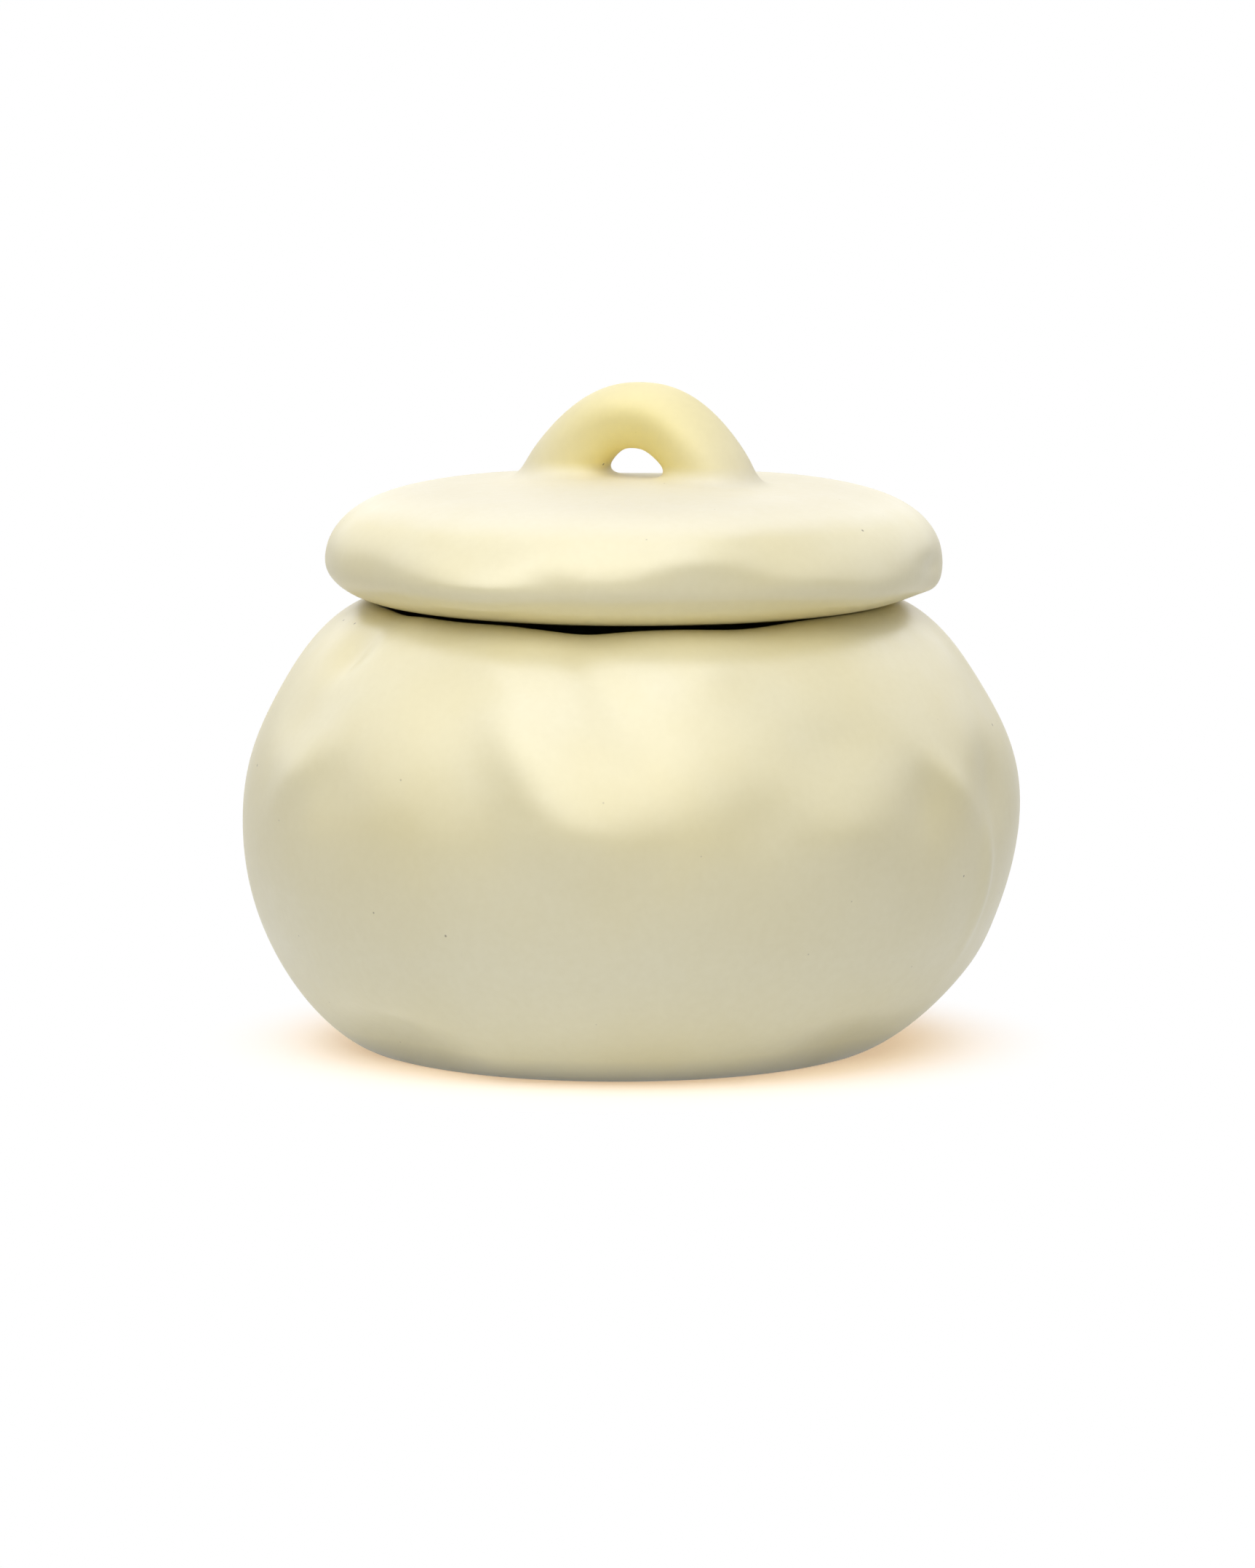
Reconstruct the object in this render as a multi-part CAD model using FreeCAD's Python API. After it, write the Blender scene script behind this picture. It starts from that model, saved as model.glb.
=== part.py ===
"""A hand-pinched stoneware jar with a loose lid, glazed all over in butter yellow.

Millimetres, +Z up. The origin is on the surface that the jar stands on, under the middle
of the jar's belly. -Y is the front and +X is to the right.

jar.step  the hollow pot: flat foot, round belly, shoulder and a half-round lip
lid.step  the thick cushion-shaped lid and its looped handle, one piece of clay

The clay is uneven. Each soft form starts as a plain round section, and each hand mark on it
is one named swelling or hollow in the lists MARKS_ON_JAR, DIPS_IN_RIM, MARKS_ON_LID and
SAGS_IN_LID.
"""

import FreeCAD
import Part
import math
import os
from collections import namedtuple

Vector = FreeCAD.Vector

# ---- the jar ------------------------------------------------------------------------
BELLY_RADIUS = 69.7
BELLY_HEIGHT = 42.5
RIM_HEIGHT = 80.8
MOUTH_RADIUS = 43.7
FOOT_RADIUS = 45.0
FOOT_SHIFT = 2.2  # the foot stands a little to the left of the belly
WALL = 6.0
FLOOR = 7.0
FLOOR_CORNER = 4.0  # how softly the inside wall turns into the floor
LOWER_FULLNESS = 1.42  # power of the curve from foot to belly: 1 is an ellipse
SHOULDER_FULLNESS = 1.32  # power of the curve from belly to rim
FOOT_CALM = 9.0  # marks stop pushing up or down within this height of the foot

# ---- the lid ------------------------------------------------------------------------
SEAT_CLEARANCE = 0.2  # lid above the highest part of the rim
LID_OVERHANG = 8.8  # how far the lid reaches out past the crest of the rim
SEAT_INSET = 4.7  # how far inside the crest the flat underside stops
LID_SHIFT = 0.6  # the lid lies a little to the right
LID_EDGE_HEIGHT = 7.5
LID_THICKNESS = 21.4
LID_FLATNESS = 0.37  # power of the curve from edge to middle: small is a flat top
CROWN_RISE = 0.7
CROWN_RADIUS = 24.0

# ---- the looped handle ----------------------------------------------------------------
HANDLE_TURN = 24.0  # degrees: the right foot comes forwards
HANDLE_SHIFT = 1.4
FOOT_SPREAD = 15.2  # from the middle of the handle to the middle of a foot
LOOP_RISE = 11.6  # middle of the strap above the lid, at the top of the loop
LOOP_ARCH = 2.3  # power of the arch: 2 is a parabola
LOOP_REACH = 1.22  # the strap runs on into the lid, past its feet at 1
STRAP_AT_TOP = 5.5  # half thickness, seen from the front
STRAP_AT_LEG = 6.9
DEPTH_AT_TOP = 6.2  # half depth, front to back
DEPTH_AT_LEG = 6.8
STRAP_LEAN = 18.0  # degrees: the front of the strap faces down a little
STRAP_TWIST = 9.0  # more of that at the right foot, less at the left
STRAP_SQUARENESS = 2.6  # power of the strap's oval: 2 is an ellipse
BLEND = 2.5  # fillet where the handle was smoothed onto the lid

# ---- how finely the soft forms are drawn ------------------------------------------------
AROUND = 96
WALL_RINGS = 44
LIP_RINGS = 5
INSIDE_RINGS = 14
LID_RINGS = 40
HANDLE_RINGS = 21
HANDLE_AROUND = 20

Mark = namedtuple("Mark", "bearing height girth rise lean lift")
# bearing: degrees from the front, to the right. height: mm above the foot, or the lid's seat.
# girth and rise: half widths in mm, along and up the wall. lean: degrees. lift: mm outwards.

MARKS_ON_JAR = [
    # front: a long thumb-made ridge with a valley along its upper right side
    Mark(-17, 63, 17, 7, -57, 1.9),
    Mark(-3, 70, 11, 5, -57, -1.6),
    Mark(-8, 46, 11, 8, 0, 1.0),
    Mark(12, 73, 8, 5, 0, 0.7),
    Mark(20, 49, 8, 8, 0, -0.6),
    Mark(-27, 51, 9, 9, 0, -0.4),
    # front right: a dent with a swelling under it
    Mark(33, 61, 9, 6, 0, -1.0),
    Mark(34, 45, 8, 7, 0, 1.0),
    Mark(49, 49, 6, 8, 0, -1.0),
    # left: a flattened shoulder, a crease across the flank and a pinch under the lid
    Mark(-90, 66, 24, 12, 0, -1.1),
    Mark(-90, 28, 30, 16, 0, 0.5),
    Mark(-50, 51, 8, 9, 0, -0.7),
    Mark(-59, 54, 11, 4.0, 40, 0.9),
    Mark(-63, 64, 10, 6, 20, -0.9),
    Mark(-60, 75, 5, 4.5, 0, -1.8),
    # right: a flattened shoulder, a slanting crease and an upright fold below it
    Mark(84, 67, 20, 9, 0, -0.9),
    Mark(90, 48, 24, 12, 0, 0.7),
    Mark(90, 17, 16, 6, 0, 0.5),
    Mark(56, 52, 3.4, 9, 47, 0.8),
    Mark(66, 32, 2.4, 11, 0, 1.0),
    Mark(69, 49, 7, 8, 0, -1.7),
    # foot: two hollows, and the edge of the left one
    Mark(-47, 4, 15, 6, 0, -4.0),
    Mark(48, 4, 16, 6, 0, -3.5),
    Mark(-24, 6, 6, 6, 0, 1.0),
]

DIPS_IN_RIM = [
    Mark(-15, 0, 24, 1, 0, -1.1),
    Mark(25, 0, 10, 1, 0, -0.8),
]

MARKS_ON_LID = [
    # left: a low swelling between two flats
    Mark(-58, 7.5, 10, 5.5, 0, -0.9),
    Mark(-30, 5.5, 11, 4, 0, 1.0),
    Mark(-30, 14, 9, 4, 0, -0.7),
    Mark(-16, 7.5, 7, 5, 0, -0.8),
    # right of the middle: a high crest that sinks away to the right
    Mark(15, 7, 14, 6, 0, -1.3),
    Mark(12, 15, 12, 4, 0, 1.0),
    Mark(33, 13.5, 10, 4, 0, -0.5),
    Mark(50, 4.5, 11, 3.6, 0, 0.9),
    # right end: a folded lip under a groove
    Mark(75, 7.5, 7, 2.0, 0, -0.9),
    Mark(82, 3.8, 9, 2.4, 0, 1.0),
]

Sag = namedtuple("Sag", "x y size depth")
# a soft hollow pressed down into the lid's flat top, in mm

SAGS_IN_LID = [
    Sag(2, 34, 15, 1.5),
    Sag(-20, -22, 12, 0.4),
    Sag(24, -16, 12, 0.5),
]

# ---- sizes that follow from the ones above -------------------------------------------------
CREST_RADIUS = MOUTH_RADIUS + WALL / 2
LID_RADIUS = CREST_RADIUS + LID_OVERHANG
SEAT_RADIUS = CREST_RADIUS - SEAT_INSET


def bell(x):
    """1 in the middle, falling smoothly to nothing at about 2.5."""
    return math.exp(-x * x)


def turned(a, b):
    """The angle in degrees from bearing b to bearing a, the short way round."""
    return (a - b + 180.0) % 360.0 - 180.0


def lift_at(marks, bearing, radius, height):
    """How far the marks push the clay outwards at one spot on the wall."""
    total = 0.0
    for mark in marks:
        along = math.radians(turned(bearing, mark.bearing)) * radius
        up = height - mark.height
        lean = math.radians(mark.lean)
        across = along * math.cos(lean) + up * math.sin(lean)
        upright = up * math.cos(lean) - along * math.sin(lean)
        total += mark.lift * bell(across / mark.girth) * bell(upright / mark.rise)
    return total


def sag_at(x, y):
    """How far the lid's top has sunk at one spot."""
    total = 0.0
    for sag in SAGS_IN_LID:
        total += sag.depth * bell(math.hypot(x - sag.x, y - sag.y) / sag.size)
    return total


def evenly(points, count):
    """count points, evenly spaced along a smooth curve through the given ones."""
    curve = Part.BSplineCurve()
    curve.interpolate(points)
    return curve.discretize(Number=count)


def outward_of(outline):
    """The direction that points out of the clay at each point of a section in the plane y = 0."""
    found = []
    for i in range(len(outline)):
        before = outline[max(i - 1, 0)]
        after = outline[min(i + 1, len(outline) - 1)]
        run = (after - before).normalize()
        found.append(Vector(run.z, 0, -run.x))
    return found


def at_bearing(bearing, point):
    """A point of the section, turned to its bearing."""
    angle = math.radians(bearing)
    return Vector(point.x * math.sin(angle), -point.x * math.cos(angle), point.z)


def reaching(points, closed):
    """Control points moved out a little, so that the smooth surface reaches the given points."""
    count = len(points)
    moved = []
    for i in range(count):
        if not closed and (i < 2 or i > count - 3):
            moved.append(points[i])
            continue
        before = points[(i - 1) % count]
        after = points[(i + 1) % count]
        moved.append(points[i] - (before + after - points[i] * 2) / 6)
    return moved


def skin(rings):
    """A smooth surface, closed round each ring, through rings of points."""
    degree = 3
    rings = [reaching(ring, True) for ring in rings]
    poles = [reaching(list(column), False) for column in zip(*rings)]
    around = len(poles)
    along = len(rings)
    along_knots = [float(i) for i in range(along - degree + 1)]
    along_mults = [degree + 1] + [1] * (len(along_knots) - 2) + [degree + 1]
    surface = Part.BSplineSurface()
    surface.buildFromPolesMultsKnots(
        poles,
        [1] * (around + 1),
        along_mults,
        [float(i) for i in range(around + 1)],
        along_knots,
        True,
        False,
        degree,
        degree,
    )
    return surface


def flat_end(surface, last):
    """The flat face that closes a skin at its first or last ring."""
    first_v, last_v = surface.bounds()[2:]
    edge = surface.vIso(last_v if last else first_v).toShape()
    return Part.Face(Part.Wire([edge]))


def solid_of(faces):
    shell = Part.Shell(faces)
    shell.sewShape()
    solid = Part.Solid(shell)
    solid.fix(0.001, 0.001, 0.01)
    if solid.Volume < 0:
        solid.reverse()
    return solid


def wall_section():
    """The plain outside of the jar, from the foot to the crest of the rim, in the plane y = 0."""
    steps = 24
    lower = []
    upper = []
    for i in range(steps):
        w = math.pi / 2 * i / steps
        radius = FOOT_RADIUS + (BELLY_RADIUS - FOOT_RADIUS) * math.sin(w) ** LOWER_FULLNESS
        lower.append(Vector(radius, 0, BELLY_HEIGHT * (1 - math.cos(w))))
    for i in range(steps + 1):
        w = math.pi / 2 * i / steps
        radius = CREST_RADIUS + (BELLY_RADIUS - CREST_RADIUS) * math.cos(w) ** SHOULDER_FULLNESS
        upper.append(Vector(radius, 0, BELLY_HEIGHT + (RIM_HEIGHT - BELLY_HEIGHT) * math.sin(w)))
    return evenly(lower + upper, WALL_RINGS)


def inside_section(wall, outward):
    """The plain inside of the jar, from just under the lip down to the floor."""
    found = []
    for point, out in zip(wall, outward):
        inner = point - out * WALL
        above = inner.z - FLOOR
        soft = FLOOR + (above + math.hypot(above, FLOOR_CORNER)) / 2
        found.append(Vector(inner.x, 0, soft))
    found.reverse()
    kept = evenly(found, INSIDE_RINGS)
    for point in kept[-2:]:
        point.z = FLOOR
    return kept


def make_jar():
    wall = wall_section()
    outward = outward_of(wall)
    outward[-1] = Vector(0, 0, 1)
    inside = inside_section(wall, outward)
    rings = [[] for _ in range(len(wall) + LIP_RINGS + len(inside))]
    for step in range(AROUND):
        bearing = 360.0 * step / AROUND
        outside = []
        for point, out in zip(wall, outward):
            lift = lift_at(MARKS_ON_JAR, bearing, point.x, point.z)
            calm = min(1.0, point.z / FOOT_CALM)
            dip = lift_at(DIPS_IN_RIM, bearing, point.x, 0) * bell((point.z - RIM_HEIGHT) / WALL)
            outside.append(point + Vector(out.x * lift, 0, out.z * lift * calm + dip))
        lip = []
        for i in range(LIP_RINGS):
            turn = math.pi * (i + 1) / (LIP_RINGS + 1)
            lip.append(outside[-1] + Vector(-math.sin(turn), 0, math.cos(turn) - 1) * (WALL / 2))
        for ring, point in zip(rings, outside + lip + inside):
            share = max(0.0, 1.0 - point.z / BELLY_HEIGHT)
            ring.append(at_bearing(bearing, point) - Vector(FOOT_SHIFT * share * share, 0, 0))
    surface = skin(rings)
    first_u, last_u, first_v, last_v = surface.bounds()
    breaks = [first_v, len(wall) // 2, len(wall) - 4, len(wall) + LIP_RINGS, last_v]
    faces = [surface.toShape(first_u, last_u, low, high) for low, high in zip(breaks, breaks[1:])]
    return solid_of(faces + [flat_end(surface, False), flat_end(surface, True)])


def underside_rise(radius):
    """How far the lid's underside has curved up from its flat seat, at one radius."""
    w = math.asin((radius - SEAT_RADIUS) / (LID_RADIUS - SEAT_RADIUS))
    return LID_EDGE_HEIGHT * (1 - math.cos(w))


def lid_section():
    """The plain outside of the lid, from the edge of its seat to the middle of its top."""
    steps = 24
    lower = []
    upper = []
    for i in range(steps):
        w = math.pi / 2 * i / steps
        radius = SEAT_RADIUS + (LID_RADIUS - SEAT_RADIUS) * math.sin(w)
        lower.append(Vector(radius, 0, underside_rise(radius)))
    for i in range(2 * steps):
        w = math.pi / 4 * i / steps
        radius = LID_RADIUS * math.cos(w) ** LID_FLATNESS
        upper.append(Vector(radius, 0, LID_EDGE_HEIGHT + (LID_THICKNESS - LID_EDGE_HEIGHT) * math.sin(w)))
    upper.append(Vector(0, 0, LID_THICKNESS))
    return evenly(lower + upper, LID_RINGS)


def make_lid_body(seat_height):
    section = lid_section()
    outward = outward_of(section)
    rings = [[] for _ in section]
    for step in range(AROUND):
        bearing = 360.0 * step / AROUND
        for ring, point, out in zip(rings, section, outward):
            calm = min(1.0, point.z / 3.5) ** 2 * min(1.0, point.x / 12.0)
            moved = point + out * (calm * lift_at(MARKS_ON_LID, bearing, point.x, point.z))
            moved.z += CROWN_RISE * bell(point.x / CROWN_RADIUS) * point.z / LID_THICKNESS
            at = at_bearing(bearing, moved) + Vector(LID_SHIFT, 0, seat_height)
            at.z -= sag_at(at.x, at.y) * max(0.0, out.z)
            ring.append(at)
    surface = skin(rings)
    return solid_of([surface.toShape(), flat_end(surface, False)])


def boxier(value):
    """A sine or cosine drawn out towards a square."""
    return math.copysign(abs(value) ** (2 / STRAP_SQUARENESS), value)


def strap_ring(along):
    """Points round the strap at one place: -1 at the left foot, 0 on top, 1 at the right foot."""
    span = abs(along)
    fall = LOOP_RISE * LOOP_ARCH * span ** (LOOP_ARCH - 1)
    run = Vector(FOOT_SPREAD, 0, -math.copysign(fall, along)).normalize()
    out = Vector(-run.z, 0, run.x)
    middle = Vector(FOOT_SPREAD * along, 0, LOOP_RISE * (1 - span**LOOP_ARCH))
    thick = STRAP_AT_TOP + (STRAP_AT_LEG - STRAP_AT_TOP) * span**2
    deep = DEPTH_AT_TOP + (DEPTH_AT_LEG - DEPTH_AT_TOP) * span**2
    lean = math.radians(STRAP_LEAN + STRAP_TWIST * along)
    ring = []
    for step in range(HANDLE_AROUND):
        angle = 2 * math.pi * step / HANDLE_AROUND
        up = thick * boxier(math.cos(angle))
        back = deep * boxier(math.sin(angle))
        ring.append(
            middle
            + out * (up * math.cos(lean) + back * math.sin(lean))
            + Vector(0, back * math.cos(lean) - up * math.sin(lean), 0)
        )
    return ring


def make_handle(top_height):
    """The looped strap: oval rings from one sunk foot over to the other."""
    rings = []
    for i in range(HANDLE_RINGS):
        rings.append(strap_ring(LOOP_REACH * (2 * i / (HANDLE_RINGS - 1) - 1)))
    surface = skin(rings)
    handle = solid_of([surface.toShape(), flat_end(surface, False), flat_end(surface, True)])
    handle.rotate(Vector(0, 0, 0), Vector(0, 0, 1), -HANDLE_TURN)
    handle.translate(Vector(HANDLE_SHIFT, 0, top_height))
    return handle


def lies_on(point, shape):
    return Part.Vertex(point).distToShape(shape)[0] < 0.02


def join_with_blend(body, handle):
    """One solid of both, with a fillet where the handle meets the body."""
    whole = body.fuse(handle).Solids[0]
    seams = []
    for edge in whole.Edges:
        middle = edge.valueAt((edge.FirstParameter + edge.LastParameter) / 2)
        if lies_on(middle, body.Shells[0]) and lies_on(middle, handle.Shells[0]):
            seams.append(edge)
    for share in (1.0, 0.8, 0.6, 0.4):
        try:
            blended = whole.makeFillet(BLEND * share, seams).Solids[0]
        except Part.OCCError:
            continue
        if blended.isValid():
            return blended
    return whole


def make_lid():
    seat_height = RIM_HEIGHT + SEAT_CLEARANCE - underside_rise(CREST_RADIUS)
    body = make_lid_body(seat_height)
    handle = make_handle(seat_height + LID_THICKNESS + CROWN_RISE / 2)
    return join_with_blend(body, handle)


def main():
    os.makedirs("parts", exist_ok=True)
    for name, shape in (("jar", make_jar()), ("lid", make_lid())):
        shape.exportStep("parts/" + name + ".step")
        box = shape.BoundBox
        print(name, shape.isValid(), round(shape.Volume / 1000, 1), "cm3", round(box.ZMin, 2), round(box.ZMax, 2))


main()
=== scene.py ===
import math
from collections import namedtuple

import bpy
import numpy as np
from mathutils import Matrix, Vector


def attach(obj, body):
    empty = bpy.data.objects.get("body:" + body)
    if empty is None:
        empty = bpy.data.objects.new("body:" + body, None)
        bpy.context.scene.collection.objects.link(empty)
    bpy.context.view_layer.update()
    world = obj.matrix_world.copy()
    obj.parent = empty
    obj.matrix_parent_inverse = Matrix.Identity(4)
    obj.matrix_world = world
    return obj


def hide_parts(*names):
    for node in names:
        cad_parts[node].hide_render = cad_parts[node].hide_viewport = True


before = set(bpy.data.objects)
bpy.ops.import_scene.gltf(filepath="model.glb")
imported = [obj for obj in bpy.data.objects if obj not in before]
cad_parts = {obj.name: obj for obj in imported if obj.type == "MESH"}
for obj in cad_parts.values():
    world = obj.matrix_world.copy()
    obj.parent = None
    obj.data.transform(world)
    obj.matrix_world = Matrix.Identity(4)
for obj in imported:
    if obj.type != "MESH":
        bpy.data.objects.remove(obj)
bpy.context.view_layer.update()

# A hand-pinched stoneware jar with a loose lid, glazed all over in butter yellow.
# The forms are worked out in millimetres and become metres when a mesh is made.

# ---- the jar --------------------------------------------------------------------------
BELLY_RADIUS = 69.7
BELLY_HEIGHT = 42.5
RIM_HEIGHT = 80.8
MOUTH_RADIUS = 43.7
FOOT_RADIUS = 45.0
FOOT_SHIFT = 2.2  # the foot stands a little to the left of the belly
WALL = 6.0
FLOOR = 7.0
FLOOR_CORNER = 4.0  # how softly the inside wall turns into the floor
LOWER_FULLNESS = 1.42  # power of the curve from foot to belly: 1 is an ellipse
SHOULDER_FULLNESS = 1.32  # power of the curve from belly to rim
FOOT_CALM = 9.0  # marks stop pushing up or down within this height of the foot

# ---- the lid --------------------------------------------------------------------------
SEAT_CLEARANCE = 0.2  # lid above the highest part of the rim
LID_OVERHANG = 8.8  # how far the lid reaches out past the crest of the rim
SEAT_INSET = 4.7  # how far inside the crest the flat underside stops
LID_SHIFT = 0.6  # the lid lies a little to the right
LID_EDGE_HEIGHT = 7.5
LID_THICKNESS = 21.4
LID_FLATNESS = 0.37  # power of the curve from edge to middle: small is a flat top
CROWN_RISE = 0.7
CROWN_RADIUS = 24.0
SEAT_CALM = 3.5  # marks fade out within this height of the flat underside
MIDDLE_CALM = 12.0  # and within this distance of the lid's middle

# ---- the looped handle ------------------------------------------------------------------
HANDLE_TURN = 24.0  # degrees: the right foot comes forwards
HANDLE_SHIFT = 1.4
FOOT_SPREAD = 15.2  # from the middle of the handle to the middle of a foot
LOOP_RISE = 11.6  # middle of the strap above the lid, at the top of the loop
LOOP_ARCH = 2.3  # power of the arch: 2 is a parabola
LOOP_REACH = 1.22  # the strap runs on into the lid, past its feet at 1
STRAP_AT_TOP = 5.5  # half thickness, seen from the front
STRAP_AT_LEG = 6.9
DEPTH_AT_TOP = 6.2  # half depth, front to back
DEPTH_AT_LEG = 6.8
STRAP_LEAN = 18.0  # degrees: the front of the strap faces down a little
STRAP_TWIST = 9.0  # more of that at the right foot, less at the left
STRAP_SQUARENESS = 2.6  # power of the strap's oval: 2 is an ellipse

# ---- how finely the forms are drawn --------------------------------------------------------
SECTION_POINTS = 1500  # on each half of a section, before it is evened out
AROUND = 448
WALL_RINGS = 130
LIP_RINGS = 13
INSIDE_RINGS = 36
LID_RINGS = 150
HANDLE_RINGS = 90
HANDLE_AROUND = 64
LID_VOXEL = 0.55  # lid and handle are joined into one skin of this fineness
LID_SMOOTHING = 12  # rounds over the whole lid, to take out the voxels' steps

# the clay is drawn up round the feet of the handle
JUNCTION_SMOOTHING = 90  # rounds
JUNCTION_HEIGHT = 1.0  # middle of the smoothed band, above the lid's thickness
JUNCTION_RISE = 2.4
JUNCTION_LENGTH = 30.0  # half length along the handle, and half width across it
JUNCTION_WIDTH = 14.0

Mark = namedtuple("Mark", "bearing height girth rise lean lift")
# bearing: degrees from the front, to the right. height: mm above the foot, or the lid's seat.
# girth and rise: half widths in mm, along and up the wall. lean: degrees. lift: mm outwards.

MARKS_ON_JAR = [
    # front: a long thumb-made ridge with a valley along its upper right side
    Mark(-17, 63, 17, 7, -57, 1.9),
    Mark(-3, 70, 11, 5, -57, -1.6),
    Mark(-8, 46, 11, 8, 0, 1.0),
    Mark(12, 73, 8, 5, 0, 0.7),
    Mark(20, 49, 8, 8, 0, -0.6),
    Mark(-27, 51, 9, 9, 0, -0.4),
    # front right: a dent with a swelling under it
    Mark(33, 61, 9, 6, 0, -1.0),
    Mark(34, 45, 8, 7, 0, 1.0),
    Mark(49, 49, 6, 8, 0, -1.0),
    # left: a flattened shoulder, a crease across the flank and a pinch under the lid
    Mark(-90, 66, 24, 12, 0, -1.1),
    Mark(-90, 28, 30, 16, 0, 0.5),
    Mark(-50, 51, 8, 9, 0, -0.7),
    Mark(-59, 54, 11, 4.0, 40, 0.9),
    Mark(-63, 64, 10, 6, 20, -0.9),
    Mark(-60, 75, 5, 4.5, 0, -1.8),
    # right: a flattened shoulder, a slanting crease and an upright fold below it
    Mark(84, 67, 20, 9, 0, -0.9),
    Mark(90, 48, 24, 12, 0, 0.7),
    Mark(90, 17, 16, 6, 0, 0.5),
    Mark(56, 52, 3.4, 9, 47, 0.8),
    Mark(66, 32, 2.4, 11, 0, 1.0),
    Mark(69, 49, 7, 8, 0, -1.7),
    # foot: two hollows, and the edge of the left one
    Mark(-47, 4, 15, 6, 0, -4.0),
    Mark(48, 4, 16, 6, 0, -3.5),
    Mark(-24, 6, 6, 6, 0, 1.0),
]

DIPS_IN_RIM = [
    Mark(-15, 0, 24, 1, 0, -1.1),
    Mark(25, 0, 10, 1, 0, -0.8),
]

MARKS_ON_LID = [
    # left: a low swelling between two flats
    Mark(-58, 7.5, 10, 5.5, 0, -0.9),
    Mark(-30, 5.5, 11, 4, 0, 1.0),
    Mark(-30, 14, 9, 4, 0, -0.7),
    Mark(-16, 7.5, 7, 5, 0, -0.8),
    # right of the middle: a high crest that sinks away to the right
    Mark(15, 7, 14, 6, 0, -1.3),
    Mark(12, 15, 12, 4, 0, 1.0),
    Mark(33, 13.5, 10, 4, 0, -0.5),
    Mark(50, 4.5, 11, 3.6, 0, 0.9),
    # right end: a folded lip under a groove
    Mark(75, 7.5, 7, 2.0, 0, -0.9),
    Mark(82, 3.8, 9, 2.4, 0, 1.0),
]

# a soft hollow pressed down into the lid's flat top, in mm
Sag = namedtuple("Sag", "x y size depth")

SAGS_IN_LID = [
    Sag(2, 34, 15, 1.5),
    Sag(-20, -22, 12, 0.4),
    Sag(24, -16, 12, 0.5),
]

CREST_RADIUS = MOUTH_RADIUS + WALL / 2
LID_RADIUS = CREST_RADIUS + LID_OVERHANG
SEAT_RADIUS = CREST_RADIUS - SEAT_INSET


# ---- the same soft forms as the CAD, on finer grids --------------------------------------
def bell(x):
    return np.exp(-x * x)


def lift_at(marks, bearing, radius, height):
    """How far the marks push the clay outwards, all over a grid of spots."""
    total = 0.0
    for mark in marks:
        along = np.radians((bearing - mark.bearing + 180.0) % 360.0 - 180.0) * radius
        up = height - mark.height
        lean = math.radians(mark.lean)
        across = along * math.cos(lean) + up * math.sin(lean)
        upright = up * math.cos(lean) - along * math.sin(lean)
        total = total + mark.lift * bell(across / mark.girth) * bell(upright / mark.rise)
    return total


def sag_at(x, y):
    return sum(s.depth * bell(np.hypot(x - s.x, y - s.y) / s.size) for s in SAGS_IN_LID)


def evenly(outline, count):
    """count points, evenly spaced along a line through many points."""
    step = np.hypot(*np.diff(outline, axis=0).T)
    run = np.concatenate([[0.0], np.cumsum(step)])
    at = np.linspace(0.0, run[-1], count)
    return np.stack([np.interp(at, run, outline[:, i]) for i in range(2)], axis=1)


def outward_of(outline):
    run = np.gradient(outline, axis=0)
    run /= np.linalg.norm(run, axis=1)[:, None]
    return np.stack([run[:, 1], -run[:, 0]], axis=1)


def wall_section():
    w = np.linspace(0.0, math.pi / 2, SECTION_POINTS)
    lower = np.stack([
        FOOT_RADIUS + (BELLY_RADIUS - FOOT_RADIUS) * np.sin(w) ** LOWER_FULLNESS,
        BELLY_HEIGHT * (1 - np.cos(w)),
    ], axis=1)
    upper = np.stack([
        CREST_RADIUS + (BELLY_RADIUS - CREST_RADIUS) * np.cos(w).clip(0) ** SHOULDER_FULLNESS,
        BELLY_HEIGHT + (RIM_HEIGHT - BELLY_HEIGHT) * np.sin(w),
    ], axis=1)
    return evenly(np.concatenate([lower[:-1], upper]), WALL_RINGS)


def inside_section(wall, outward):
    inner = wall - outward * WALL
    above = inner[:, 1] - FLOOR
    soft = FLOOR + (above + np.hypot(above, FLOOR_CORNER)) / 2
    found = evenly(np.stack([inner[:, 0], soft], axis=1)[::-1], INSIDE_RINGS)
    found[-2:, 1] = FLOOR
    return found


def turned_out(radius, height, bearing):
    """Points x, y, z from radius and height grids at their bearings."""
    angle = np.radians(bearing)
    return np.stack([radius * np.sin(angle), -radius * np.cos(angle), height + 0 * angle], axis=-1)


def jar_grid():
    """Rings of points from the foot, over the lip and down to the floor inside."""
    bearing = (360.0 * np.arange(AROUND) / AROUND)[None, :]
    wall = wall_section()
    outward = outward_of(wall)
    outward[-1] = (0.0, 1.0)
    inside = inside_section(wall, outward)
    r, z = wall[:, :1], wall[:, 1:]
    out_r, out_z = outward[:, :1], outward[:, 1:]
    lift = lift_at(MARKS_ON_JAR, bearing, r, z)
    calm = np.minimum(1.0, z / FOOT_CALM)
    dip = lift_at(DIPS_IN_RIM, bearing, r, 0.0) * bell((z - RIM_HEIGHT) / WALL)
    radius = [r + out_r * lift]
    height = [z + out_z * lift * calm + dip]
    turn = (np.pi * np.arange(1, LIP_RINGS + 1) / (LIP_RINGS + 1))[:, None]
    radius.append(radius[0][-1:] - np.sin(turn) * WALL / 2)
    height.append(height[0][-1:] + (np.cos(turn) - 1) * WALL / 2)
    radius.append(inside[:, :1] + 0 * bearing)
    height.append(inside[:, 1:] + 0 * bearing)
    points = turned_out(np.concatenate(radius), np.concatenate(height), bearing)
    share = np.maximum(0.0, 1.0 - points[..., 2] / BELLY_HEIGHT)
    points[..., 0] -= FOOT_SHIFT * share * share
    return points


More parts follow.
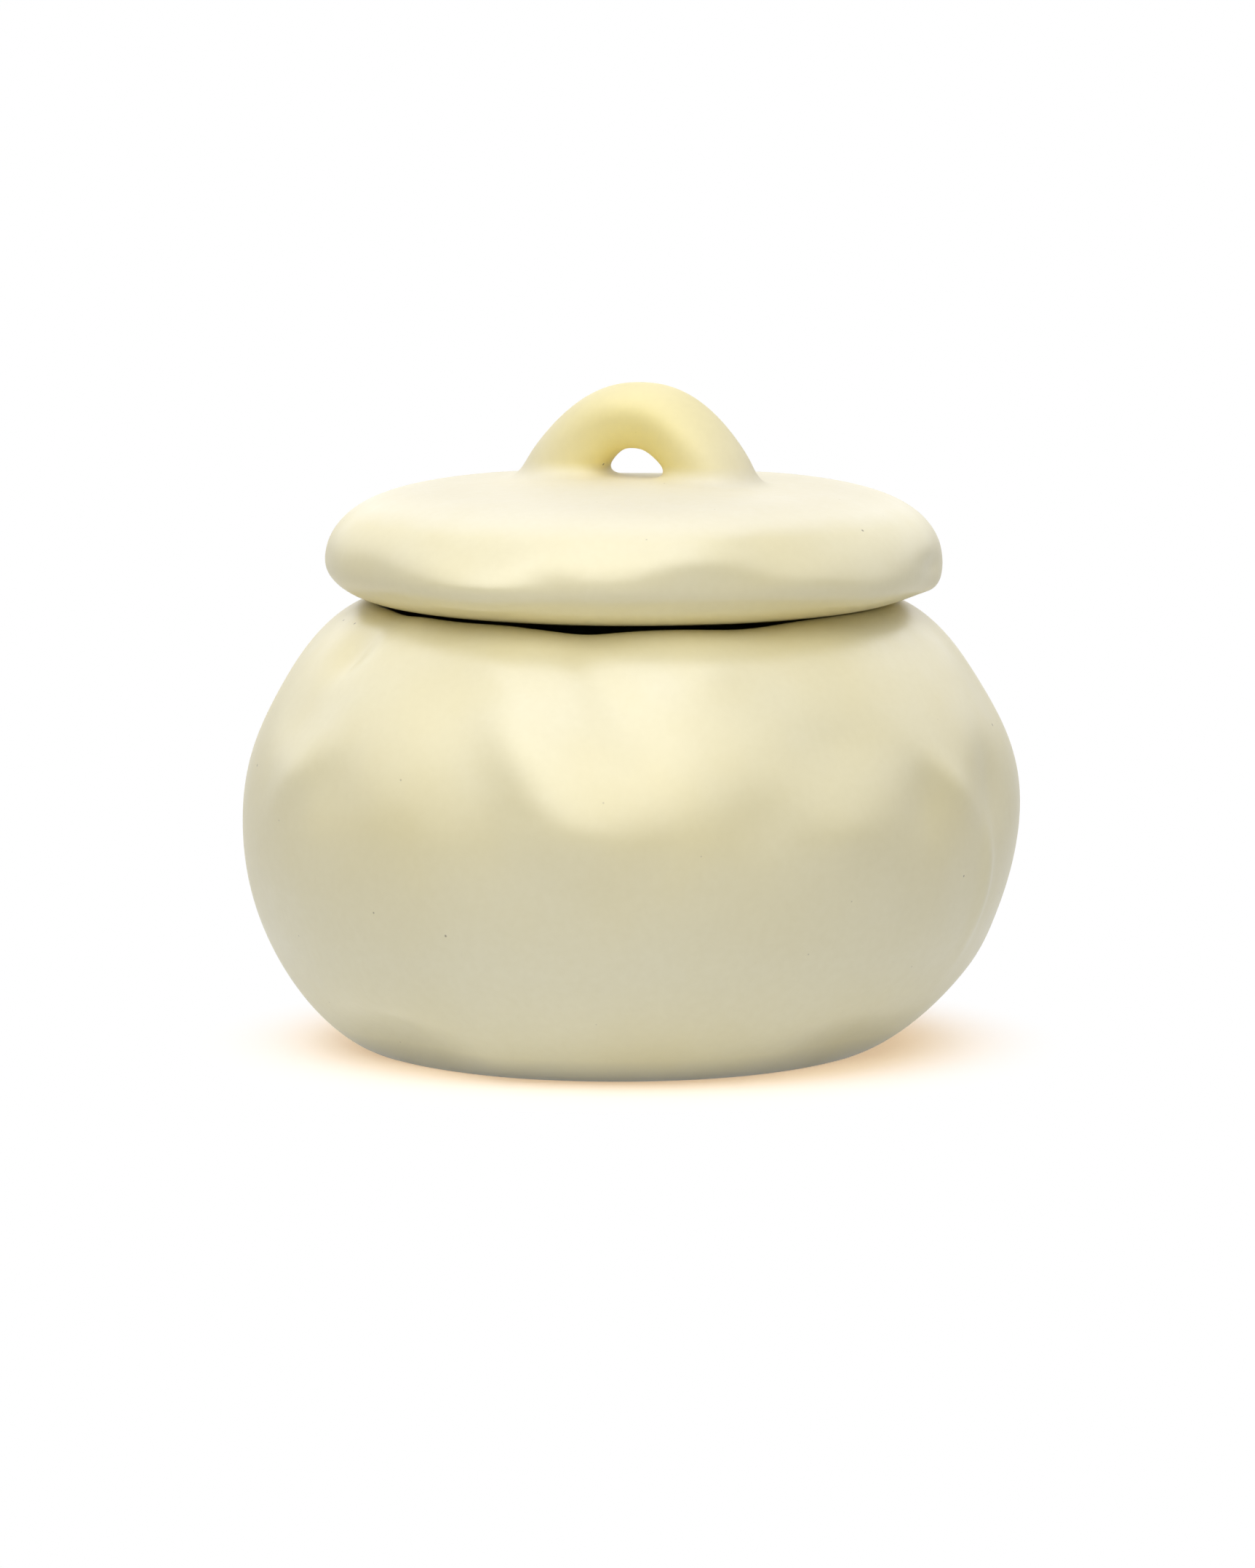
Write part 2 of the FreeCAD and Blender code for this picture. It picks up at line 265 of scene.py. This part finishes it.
def underside_rise(radius):
    w = np.arcsin((radius - SEAT_RADIUS) / (LID_RADIUS - SEAT_RADIUS))
    return LID_EDGE_HEIGHT * (1 - np.cos(w))


SEAT_HEIGHT = RIM_HEIGHT + SEAT_CLEARANCE - underside_rise(CREST_RADIUS)


def lid_section():
    w = np.linspace(0.0, math.pi / 2, SECTION_POINTS)
    low_r = SEAT_RADIUS + (LID_RADIUS - SEAT_RADIUS) * np.sin(w)
    lower = np.stack([low_r, LID_EDGE_HEIGHT * (1 - np.cos(w))], axis=1)
    upper = np.stack([
        LID_RADIUS * np.cos(w).clip(0) ** LID_FLATNESS,
        LID_EDGE_HEIGHT + (LID_THICKNESS - LID_EDGE_HEIGHT) * np.sin(w),
    ], axis=1)
    return evenly(np.concatenate([lower[:-1], upper]), LID_RINGS)


def lid_grid():
    bearing = (360.0 * np.arange(AROUND) / AROUND)[None, :]
    section = lid_section()
    outward = outward_of(section)
    r, z = section[:-1, :1], section[:-1, 1:]
    out_r, out_z = outward[:-1, :1], outward[:-1, 1:]
    calm = np.minimum(1.0, z / SEAT_CALM) ** 2 * np.minimum(1.0, r / MIDDLE_CALM)
    lift = calm * lift_at(MARKS_ON_LID, bearing, r, z)
    height = z + out_z * lift + CROWN_RISE * bell(r / CROWN_RADIUS) * z / LID_THICKNESS
    points = turned_out(r + out_r * lift, height, bearing) + (LID_SHIFT, 0.0, SEAT_HEIGHT)
    points[..., 2] -= sag_at(points[..., 0], points[..., 1]) * np.maximum(0.0, out_z)
    return points


def rounded(value):
    """A sine or cosine drawn out towards a square, which makes an oval boxier."""
    return np.sign(value) * abs(value) ** (2.0 / STRAP_SQUARENESS)


def handle_grid():
    """Oval rings along the strap, from one sunk leg over to the other."""
    along = np.linspace(-LOOP_REACH, LOOP_REACH, HANDLE_RINGS)[:, None]
    run_z = -np.sign(along) * LOOP_RISE * LOOP_ARCH * abs(along) ** (LOOP_ARCH - 1)
    length = np.hypot(FOOT_SPREAD, run_z)
    thick = STRAP_AT_TOP + (STRAP_AT_LEG - STRAP_AT_TOP) * along ** 2
    deep = DEPTH_AT_TOP + (DEPTH_AT_LEG - DEPTH_AT_TOP) * along ** 2
    angle = (2 * np.pi * np.arange(HANDLE_AROUND) / HANDLE_AROUND)[None, :]
    up = thick * rounded(np.cos(angle))
    back = deep * rounded(np.sin(angle))
    lean = np.radians(STRAP_LEAN + STRAP_TWIST * along)
    out = up * np.cos(lean) + back * np.sin(lean)
    y = back * np.cos(lean) - up * np.sin(lean)
    x = FOOT_SPREAD * along - run_z / length * out
    z = LOOP_RISE * (1 - abs(along) ** LOOP_ARCH) + FOOT_SPREAD / length * out
    turned = -math.radians(HANDLE_TURN)
    top = SEAT_HEIGHT + LID_THICKNESS + CROWN_RISE / 2
    return np.stack([
        x * math.cos(turned) - y * math.sin(turned) + HANDLE_SHIFT,
        x * math.sin(turned) + y * math.cos(turned),
        z + top,
    ], axis=-1)


# ---- meshes -------------------------------------------------------------------------------
def closed_by_fans(grid, rings_in=(0.7, 0.4)):
    """The grid with flat rings and a middle point added at both ends, and its faces."""
    def inner(ring):
        middle = ring.mean(axis=0)
        return [middle + (ring - middle) * share for share in rings_in], middle

    first, first_middle = inner(grid[0])
    last, last_middle = inner(grid[-1])
    rings = np.array(first[::-1] + list(grid) + last)
    count, around = rings.shape[:2]
    points = np.concatenate([rings.reshape(-1, 3), [first_middle, last_middle]])
    here = np.arange(around)
    after = (here + 1) % around
    quads = []
    for ring in range(count - 1):
        low, high = ring * around, (ring + 1) * around
        quads.append(np.stack([low + here, low + after, high + after, high + here], axis=1))
    quads = np.concatenate(quads)
    start = np.full(around, count * around)
    fans = np.concatenate([
        np.stack([start, after, here], axis=1),
        np.stack([start + 1, (count - 1) * around + here, (count - 1) * around + after], axis=1),
    ])
    return points, quads, fans


def new_mesh(name, parts):
    """A Blender object from (points, quads, fans) parts in millimetres."""
    points, faces, offset = [], [], 0
    for part_points, quads, fans in parts:
        points.append(part_points)
        faces += (quads + offset).tolist() + (fans + offset).tolist()
        offset += len(part_points)
    mesh = bpy.data.meshes.new(name)
    mesh.from_pydata((np.concatenate(points) / 1000.0).tolist(), [], faces)
    mesh.validate()
    mesh.shade_smooth()
    piece = bpy.data.objects.new(name, mesh)
    bpy.context.scene.collection.objects.link(piece)
    return piece


def apply_modifiers(piece):
    graph = bpy.context.evaluated_depsgraph_get()
    mesh = bpy.data.meshes.new_from_object(piece.evaluated_get(graph))
    old = piece.data
    piece.modifiers.clear()
    piece.data = mesh
    bpy.data.meshes.remove(old)
    mesh.shade_smooth()


def coordinates(mesh):
    flat = np.empty(len(mesh.vertices) * 3)
    mesh.vertices.foreach_get("co", flat)
    return flat.reshape(-1, 3)


def neighbour_means(mesh):
    """A function that gives the mean of each point's neighbours, for any values on them."""
    ends = np.empty(len(mesh.edges) * 2, dtype=np.int64)
    mesh.edges.foreach_get("vertices", ends)
    a, b = ends.reshape(-1, 2).T
    count = np.bincount(ends, minlength=len(mesh.vertices)).astype(float)

    def means(values):
        total = np.empty_like(values)
        for i in range(values.shape[1]):
            total[:, i] = (
                np.bincount(a, weights=values[b, i], minlength=len(count))
                + np.bincount(b, weights=values[a, i], minlength=len(count))
            )
        return total / count[:, None]

    return means


def soften(mesh, rounds, weight=None):
    """Smooths points. Without weight it keeps the volume. With one it fills hollows there."""
    means = neighbour_means(mesh)
    points = coordinates(mesh)
    for _ in range(rounds):
        if weight is None:
            points += 0.5 * (means(points) - points)
            points -= 0.52 * (means(points) - points)
        else:
            points += 0.5 * weight[:, None] * (means(points) - points)
    mesh.vertices.foreach_set("co", points.ravel())
    mesh.update()


def near_feet(points):
    """How close points in millimetres are to the feet of the handle, from 0 to 1."""
    middle = SEAT_HEIGHT + LID_THICKNESS + JUNCTION_HEIGHT
    x, y, z = (points - (HANDLE_SHIFT, 0.0, middle)).T
    turned = math.radians(HANDLE_TURN)
    along = x * math.cos(turned) - y * math.sin(turned)
    across = x * math.sin(turned) + y * math.cos(turned)
    lengthwise = bell((along / JUNCTION_LENGTH) ** 2)
    crosswise = bell((across / JUNCTION_WIDTH) ** 2)
    return bell(z / JUNCTION_RISE) * lengthwise * crosswise


jar = new_mesh("jar_glazed", [closed_by_fans(jar_grid()[:, ::-1])])

lid = new_mesh("lid_glazed", [
    closed_by_fans(lid_grid()[:, ::-1]),
    closed_by_fans(handle_grid()[:, ::-1]),
])
remesh = lid.modifiers.new("one_clay", "REMESH")
remesh.mode = "VOXEL"
remesh.voxel_size = LID_VOXEL / 1000.0
apply_modifiers(lid)
soften(lid.data, LID_SMOOTHING)
soften(lid.data, JUNCTION_SMOOTHING, near_feet(coordinates(lid.data) * 1000.0))


# ---- nodes --------------------------------------------------------------------------------
class Graph:
    """The nodes of one material or world, with short ways to add those used here."""

    def __init__(self, tree):
        self.nodes, self.links = tree.nodes, tree.links

    def feed(self, socket, value):
        """Sets a socket to a number or a color, or joins another node's output to it."""
        if isinstance(value, bpy.types.NodeSocket):
            self.links.new(value, socket)
        else:
            socket.default_value = value

    def made(self, kind, inputs):
        node = self.nodes.new(kind)
        for name, value in inputs.items():
            self.feed(node.inputs[name], value)
        return node

    def math(self, operation, first, second=0.0):
        node = self.nodes.new("ShaderNodeMath")
        node.operation = operation
        self.feed(node.inputs[0], first)
        self.feed(node.inputs[1], second)
        return node.outputs[0]

    def distance(self, place, point):
        node = self.nodes.new("ShaderNodeVectorMath")
        node.operation = "DISTANCE"
        self.feed(node.inputs[0], place)
        self.feed(node.inputs[1], point)
        return node.outputs["Value"]

    def axes(self, place):
        return self.made("ShaderNodeSeparateXYZ", {0: place}).outputs

    def across(self, value, span, results, smoothly=False):
        """Goes from one result to the other as the value crosses the span."""
        node = self.made("ShaderNodeMapRange", {"Value": value})
        names = ("From Min", "From Max", "To Min", "To Max")
        for name, number in zip(names, (*span, *results)):
            node.inputs[name].default_value = number
        if smoothly:
            node.interpolation_type = "SMOOTHSTEP"
        return node.outputs["Result"]

    def mixed(self, factor, first, second):
        """Between two numbers."""
        node = self.made("ShaderNodeMix", {"Factor": factor, "A": first, "B": second})
        return node.outputs["Result"]

    def tinted(self, factor, first, second):
        """Between two colors."""
        node = self.nodes.new("ShaderNodeMix")
        node.data_type = "RGBA"
        for socket, value in ((0, factor), (6, first), (7, second)):
            self.feed(node.inputs[socket], value)
        return node.outputs[2]

    def noise(self, place, size, detail):
        """Soft random values in spots of about the given size in mm."""
        inputs = {"Vector": place, "Scale": 1000.0 / size, "Detail": detail}
        return self.made("ShaderNodeTexNoise", inputs).outputs["Fac"]

    def specks(self, place, kind):
        """A value above 0 in small round spots, at random places."""
        inputs = {"Vector": place, "Scale": 1000.0 / kind.spacing}
        cells = self.made("ShaderNodeTexVoronoi", inputs)
        edge = kind.radius / kind.spacing
        spot = self.across(cells.outputs["Distance"], (edge / 2, edge), (kind.dark, 0.0))
        chance = self.made("ShaderNodeSeparateColor", {"Color": cells.outputs["Color"]})
        kept = self.math("LESS_THAN", chance.outputs["Red"], kind.share)
        return self.math("MULTIPLY", spot, kept)

    def bumped(self, height, depth, strength, under=None):
        """Shading normals for a height, depth in mm. They add to the ones under them."""
        inputs = {"Height": height, "Distance": depth / 1000.0, "Strength": strength}
        if under is not None:
            inputs["Normal"] = under
        return self.made("ShaderNodeBump", inputs).outputs["Normal"]

    def seen_directly(self):
        """1 for camera, glossy and transmission rays, and 0 for the rest."""
        ray = self.nodes.new("ShaderNodeLightPath").outputs
        first = self.math("MAXIMUM", ray["Is Camera Ray"], ray["Is Glossy Ray"])
        return self.math("MAXIMUM", first, ray["Is Transmission Ray"])


# ---- the glaze ------------------------------------------------------------------------------
WHITE = (1.0, 1.0, 1.0, 1.0)
GLAZE_THIN = (0.83, 0.757, 0.475, 1.0)
GLAZE_THICK = (0.80, 0.712, 0.400, 1.0)
# painted bounce light: a deeper yellow on the strap near its feet, for the yellow light that the
# lid's top throws onto it
GLAZE_PAINTED_BOUNCE = (0.95, 0.80, 0.22, 1.0)
# painted reflection: the jar paler low down, for the white floor mirrored in the glaze
GLAZE_PAINTED_REFLECTION = (0.89, 0.84, 0.60, 1.0)
# painted shade: dark brownish grey at the very foot, for the shadow where the jar meets the floor
GLAZE_PAINTED_FOOT_SHADE = (0.33, 0.30, 0.19, 1.0)
# painted light: the lid's top greyer, for the strong light from above that washes it out, and a
# little darker so that it stays below white
GLAZE_PAINTED_TOP_LIGHT = (0.79, 0.735, 0.57, 1.0)
MOTTLE_COLOR = (0.66, 0.57, 0.27, 1.0)
SPECK_COLOR = (0.20, 0.145, 0.06, 1.0)
GLAZE_IOR = 1.75
GLAZE_SPECULAR = 1.0
ROUGHNESS = (0.33, 0.41)
ROUGHER_ON_TOP = 0.27

# spans of height over which one color gives way to another, in metres
# height of the painted shade at the foot
FOOT_SHADE_SPAN = (0.0, 0.0050)
# heights of the painted floor reflection low on the jar
REFLECTION_COMES_IN = (0.005, 0.022)
REFLECTION_FADES_OUT = (0.012, 0.046)
# height where the painted light on the lid's top comes in
TOP_SPAN = (0.096, 0.101)
ROUGH_TOP_SPAN = (0.0985, 0.1015)
STRAP_SPAN = (0.1025, 0.1055)
# where the painted bounce light on the strap is strongest, and how far it reaches
BOUNCE_MIDDLE = (HANDLE_SHIFT / 1000.0, -0.003, 0.106)
BOUNCE_SPAN = (0.006, 0.024)  # distances from that point

# soft random patches: their size in mm and how finely they are broken up
Patches = namedtuple("Patches", "size detail")
DRIFT = Patches(32.0, 2.0)
MOTTLE = Patches(1.6, 3.0)
ROUGH_PATCHES = Patches(9.0, 3.0)
RIPPLE = Patches(11.0, 1.5)
SKIN = Patches(1.8, 2.0)

# radius and spacing in mm, the share of the specks that is kept, and how dark they are
Specks = namedtuple("Specks", "radius spacing share dark")
PINHOLES = Specks(0.32, 9.0, 0.6, 0.9)
FINE_SPECKS = Specks(0.22, 6.0, 0.5, 0.35)

# bumps: depth in mm, and strength
RIPPLE_BUMP = (0.9, 0.12)
SKIN_BUMP = (0.12, 0.16)
PINHOLE_BUMP = (0.15, 0.6)


def glaze_material():
    """Satin butter-yellow glaze that drifts from thin to thick, with a few pinholes, and with
    painted light and shade by place: a greyer lid top, bounce light on the strap, a floor
    reflection low on the jar and shade at the foot.
    """
    material = bpy.data.materials.new("butter_glaze")
    material.use_nodes = True
    graph = Graph(material.node_tree)
    shader = graph.nodes["Principled BSDF"]
    graph.feed(shader.inputs["Specular IOR Level"], GLAZE_SPECULAR)
    graph.feed(shader.inputs["IOR"], GLAZE_IOR)
    place = graph.nodes.new("ShaderNodeTexCoord").outputs["Object"]
    height = graph.axes(place)["Z"]

    drift = graph.across(graph.noise(place, *DRIFT), (0.35, 0.65), (0.0, 1.0))
    color = graph.tinted(drift, GLAZE_THIN, GLAZE_THICK)
    # painted light on the lid's top
    color = graph.tinted(graph.across(height, TOP_SPAN, (0.0, 1.0)), color, GLAZE_PAINTED_TOP_LIGHT)
    # painted bounce light on the strap, near its feet
    bounce_near_feet = graph.across(graph.distance(place, BOUNCE_MIDDLE), BOUNCE_SPAN, (0.85, 0.0))
    on_strap = graph.across(height, STRAP_SPAN, (0.0, 1.0))
    color = graph.tinted(graph.math("MULTIPLY", bounce_near_feet, on_strap), color, GLAZE_PAINTED_BOUNCE)
    # painted reflection of the floor, a paler band low on the jar
    fading = graph.across(height, REFLECTION_FADES_OUT, (0.95, 0.0))
    coming = graph.across(height, REFLECTION_COMES_IN, (0.0, 1.0))
    color = graph.tinted(graph.math("MULTIPLY", fading, coming), color, GLAZE_PAINTED_REFLECTION)
    # painted shade, darkest at the foot and gone 5 mm up
    color = graph.tinted(graph.across(height, FOOT_SHADE_SPAN, (0.7, 0.0)), color, GLAZE_PAINTED_FOOT_SHADE)
    mottle = graph.across(graph.noise(place, *MOTTLE), (0.30, 0.70), (0.0, 0.10))
    color = graph.tinted(mottle, color, MOTTLE_COLOR)
    pinholes = graph.specks(place, PINHOLES)
    color = graph.tinted(pinholes, color, SPECK_COLOR)
    color = graph.tinted(graph.specks(place, FINE_SPECKS), color, SPECK_COLOR)
    graph.feed(shader.inputs["Base Color"], color)

    rough = graph.across(graph.noise(place, *ROUGH_PATCHES), (0.30, 0.70), ROUGHNESS)
    rougher = graph.across(height, ROUGH_TOP_SPAN, (0.0, ROUGHER_ON_TOP))
    graph.feed(shader.inputs["Roughness"], graph.math("ADD", rough, rougher))

    bumps = graph.bumped(graph.noise(place, *RIPPLE), *RIPPLE_BUMP)
    bumps = graph.bumped(graph.noise(place, *SKIN), *SKIN_BUMP, bumps)
    holes = graph.across(pinholes, (0.0, 1.0), (1.0, 0.0))
    graph.feed(shader.inputs["Normal"], graph.bumped(holes, *PINHOLE_BUMP, bumps))
    return material


glaze = glaze_material()
for piece, node in ((jar, "jar"), (lid, "lid")):
    piece.data.materials.append(glaze)
    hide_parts(node)
    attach(piece, "root")


# ---- the floor ------------------------------------------------------------------------------
FLOOR_SIZE = 8.0
FLOOR_COLOR = (0.90, 0.90, 0.90, 1.0)
FLOOR_LIFT = 0.55  # how much the shadow near the jar is lightened
GLOW_IN_SHADOW = (1.0, 0.70, 0.44, 1.0)  # the tint of that, as the camera sees it
SHADOW_SPAN = (0.045, 0.080)  # distances over which the floor turns to plain white


def floor_material():
    material = bpy.data.materials.new("white_floor")
    material.use_nodes = True
    graph = Graph(material.node_tree)
    graph.nodes.clear()
    plain = graph.made("ShaderNodeBsdfDiffuse", {"Color": FLOOR_COLOR}).outputs[0]
    ray = graph.nodes.new("ShaderNodeLightPath").outputs
    glow = graph.tinted(ray["Is Camera Ray"], WHITE, GLOW_IN_SHADOW)
    lift = graph.made("ShaderNodeEmission", {"Color": glow, "Strength": FLOOR_LIFT})
    near = graph.made("ShaderNodeAddShader", {0: plain, 1: lift.outputs[0]}).outputs[0]
    white = graph.made("ShaderNodeEmission", {"Strength": 1.0}).outputs[0]
    place = graph.nodes.new("ShaderNodeTexCoord").outputs["Object"]
    away = graph.distance(place, (0.0, 0.0, 0.0))
    far = graph.across(away, SHADOW_SPAN, (0.0, 1.0), smoothly=True)
    seen = graph.made("ShaderNodeMixShader", {0: far, 1: near, 2: white}).outputs[0]
    both = graph.made("ShaderNodeMixShader", {0: graph.seen_directly(), 1: plain, 2: seen})
    graph.made("ShaderNodeOutputMaterial", {"Surface": both.outputs[0]})
    return material


bpy.ops.mesh.primitive_plane_add(size=FLOOR_SIZE, location=(0.0, 0.0, 0.0))
floor = bpy.context.object
floor.name = "floor"
floor.data.materials.append(floor_material())


# ---- the light --------------------------------------------------------------------------------
FILL = 0.12  # the world as a light

# the room that the glaze mirrors: strengths, and the spans of a direction between them
BRIGHT_WALL = 2.8
BESIDE_PANEL = 1.6
BACK_WALL = 1.9
CEILING = 1.2
DARK_SIDE = 0.02
PANEL_X = -0.22
PANEL_SPAN = (0.30, 0.95)
BACK_SPAN = (-0.10, 0.30)
CEILING_SPAN = (0.60, 0.90)
LOW_WALL_SPAN = (-0.5, 0.2)
HORIZON_SPAN = (0.06, 0.22)


def white_room():
    world = bpy.data.worlds.new("white_room")
    world.use_nodes = True
    graph = Graph(world.node_tree)
    graph.nodes.clear()
    toward = graph.axes(graph.nodes.new("ShaderNodeTexCoord").outputs["Generated"])
    sideways = graph.math("ABSOLUTE", graph.math("SUBTRACT", toward["X"], PANEL_X))
    panel = graph.across(sideways, PANEL_SPAN, (BRIGHT_WALL, BESIDE_PANEL), smoothly=True)
    behind = graph.across(toward["Y"], BACK_SPAN, (0.0, 1.0), smoothly=True)
    high = graph.across(toward["Z"], CEILING_SPAN, (0.0, 1.0), smoothly=True)
    upper = graph.mixed(high, graph.mixed(behind, panel, BACK_WALL), CEILING)
    lower = graph.across(toward["Y"], LOW_WALL_SPAN, (DARK_SIDE, 1.0), smoothly=True)
    above = graph.across(toward["Z"], HORIZON_SPAN, (0.0, 1.0), smoothly=True)
    mirrored = graph.mixed(above, lower, upper)
    ray = graph.nodes.new("ShaderNodeLightPath").outputs
    strength = graph.mixed(ray["Is Glossy Ray"], FILL, mirrored)
    strength = graph.mixed(ray["Is Camera Ray"], strength, 1.0)
    strength = graph.mixed(ray["Is Transmission Ray"], strength, 1.0)
    shine = graph.made("ShaderNodeBackground", {"Color": WHITE, "Strength": strength})
    graph.made("ShaderNodeOutputWorld", {"Surface": shine.outputs[0]})
    return world


LAMPS_FACE = Vector((0.0, 0.0, 0.06))


def turned_to(place, target):
    return (target - place).to_track_quat("-Z", "Y").to_euler()


def softbox(name, place, width, depth, energy, mirrored):
    """A rectangular lamp that faces the jar. The glaze mirrors it or it doesn't."""
    lamp = bpy.data.lights.new(name, "AREA")
    lamp.shape = "RECTANGLE"
    lamp.size = width
    lamp.size_y = depth
    lamp.energy = energy
    box = bpy.data.objects.new(name, lamp)
    bpy.context.scene.collection.objects.link(box)
    box.location = place
    box.visible_glossy = mirrored
    box.rotation_euler = turned_to(box.location, LAMPS_FACE)


bpy.context.scene.world = white_room()
softbox("softbox_over", (-0.06, 0.0, 0.95), 1.3, 0.9, 3.6, True)
softbox("softbox_front", (-0.08, -0.54, 0.84), 1.3, 0.80, 6.1, False)


# ---- the camera -------------------------------------------------------------------------------
CAMERA_PLACE = (-0.0005, -1.55, 0.2455)
CAMERA_AIM = Vector((-0.0005, 0.0, 0.0471))
SENSOR_WIDTH = 36.0
SEEN_AT_AIM = 0.2831  # the length that the sensor's width takes in, at the aim

camera_data = bpy.data.cameras.new("camera")
camera = bpy.data.objects.new("camera", camera_data)
bpy.context.scene.collection.objects.link(camera)
bpy.context.scene.camera = camera
camera.location = CAMERA_PLACE
camera.rotation_euler = turned_to(camera.location, CAMERA_AIM)
camera_data.sensor_width = SENSOR_WIDTH
camera_data.lens = SENSOR_WIDTH * (CAMERA_AIM - camera.location).length / SEEN_AT_AIM
camera_data.clip_start = 0.05
camera_data.clip_end = 50.0
bpy.context.scene.view_settings.view_transform = "Standard"
